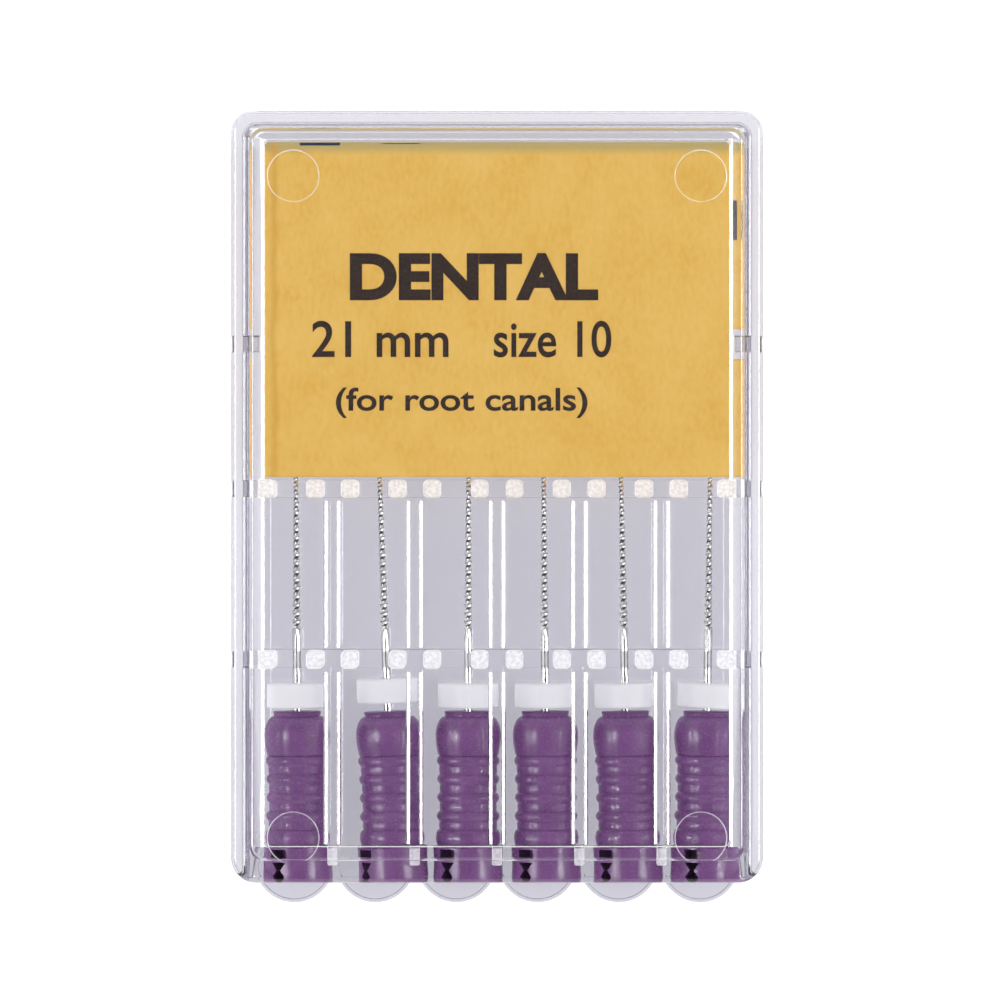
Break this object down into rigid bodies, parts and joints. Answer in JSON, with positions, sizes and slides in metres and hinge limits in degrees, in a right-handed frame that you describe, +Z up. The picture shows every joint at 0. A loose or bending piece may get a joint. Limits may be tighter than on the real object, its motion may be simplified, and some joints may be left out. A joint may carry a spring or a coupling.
{
  "type": "endodontic hand file case",
  "caption": "Clear sliding case with scalloped tongues that holds a row of endodontic hand files, each with a ribbed handle, twisted shaft and silicone stop, and a folded label card.",
  "frame": {"origin": "middle of the whole case on the surface that it lies on, the tongues included in its length", "axes": "+X across the six bays, +Y from the open mouth with the handles towards the closed label end, +Z up through the front panel"},
  "size_m": [0.0322, 0.0484, 0.007],
  "materials": {
    "clear_plastic": "clear polished polystyrene",
    "gold_card": "matt gold paper board",
    "purple_handle": "satin moulded nylon",
    "stainless_steel": "bright twisted steel",
    "white_silicone": "soft matt silicone"
  },
  "bodies": {
    "tray": {"tray": "clear_plastic"},
    "cover": {"cover": "clear_plastic", "label_card": "gold_card"},
    "file_1": {"handle_1": "purple_handle", "steel_1": "stainless_steel"},
    "stop_1": {"stop_1": "white_silicone"},
    "file_2": {"handle_2": "purple_handle", "steel_2": "stainless_steel"},
    "stop_2": {"stop_2": "white_silicone"},
    "file_3": {"handle_3": "purple_handle", "steel_3": "stainless_steel"},
    "stop_3": {"stop_3": "white_silicone"},
    "file_4": {"handle_4": "purple_handle", "steel_4": "stainless_steel"},
    "stop_4": {"stop_4": "white_silicone"},
    "file_5": {"handle_5": "purple_handle", "steel_5": "stainless_steel"},
    "stop_5": {"stop_5": "white_silicone"},
    "file_6": {"handle_6": "purple_handle", "steel_6": "stainless_steel"},
    "stop_6": {"stop_6": "white_silicone"}
  },
  "joints": [
    {"name": "cover_slide", "type": "slide", "parent": "tray", "child": "cover", "axis": [0, 1, 0], "range_m": [0, 0.047]},
    {"name": "file_1_draw", "type": "slide", "parent": "tray", "child": "file_1", "axis": [0, -1, 0], "range_m": [0, 0.032]},
    {"name": "stop_1_slide", "type": "slide", "parent": "file_1", "child": "stop_1", "axis": [-0.0061, 1, 0], "range_m": [0, 0.0008]},
    {"name": "file_2_draw", "type": "slide", "parent": "tray", "child": "file_2", "axis": [0, -1, 0], "range_m": [0, 0.032]},
    {"name": "stop_2_slide", "type": "slide", "parent": "file_2", "child": "stop_2", "axis": [-0.0358, 0.9994, 0], "range_m": [0, 0.0005]},
    {"name": "file_3_draw", "type": "slide", "parent": "tray", "child": "file_3", "axis": [0, -1, 0], "range_m": [0, 0.032]},
    {"name": "stop_3_slide", "type": "slide", "parent": "file_3", "child": "stop_3", "axis": [0, 1, 0], "range_m": [0, 0.0008]},
    {"name": "file_4_draw", "type": "slide", "parent": "tray", "child": "file_4", "axis": [0, -1, 0], "range_m": [0, 0.032]},
    {"name": "stop_4_slide", "type": "slide", "parent": "file_4", "child": "stop_4", "axis": [-0.0079, 1, 0], "range_m": [0, 0.0008]},
    {"name": "file_5_draw", "type": "slide", "parent": "tray", "child": "file_5", "axis": [0, -1, 0], "range_m": [0, 0.032]},
    {"name": "stop_5_slide", "type": "slide", "parent": "file_5", "child": "stop_5", "axis": [-0.0192, 0.9998, 0], "range_m": [0, 0.0008]},
    {"name": "file_6_draw", "type": "slide", "parent": "tray", "child": "file_6", "axis": [0, -1, 0], "range_m": [0, 0.032]},
    {"name": "stop_6_slide", "type": "slide", "parent": "file_6", "child": "stop_6", "axis": [0.0122, 0.9999, 0], "range_m": [0, 0.0008]}
  ]
}
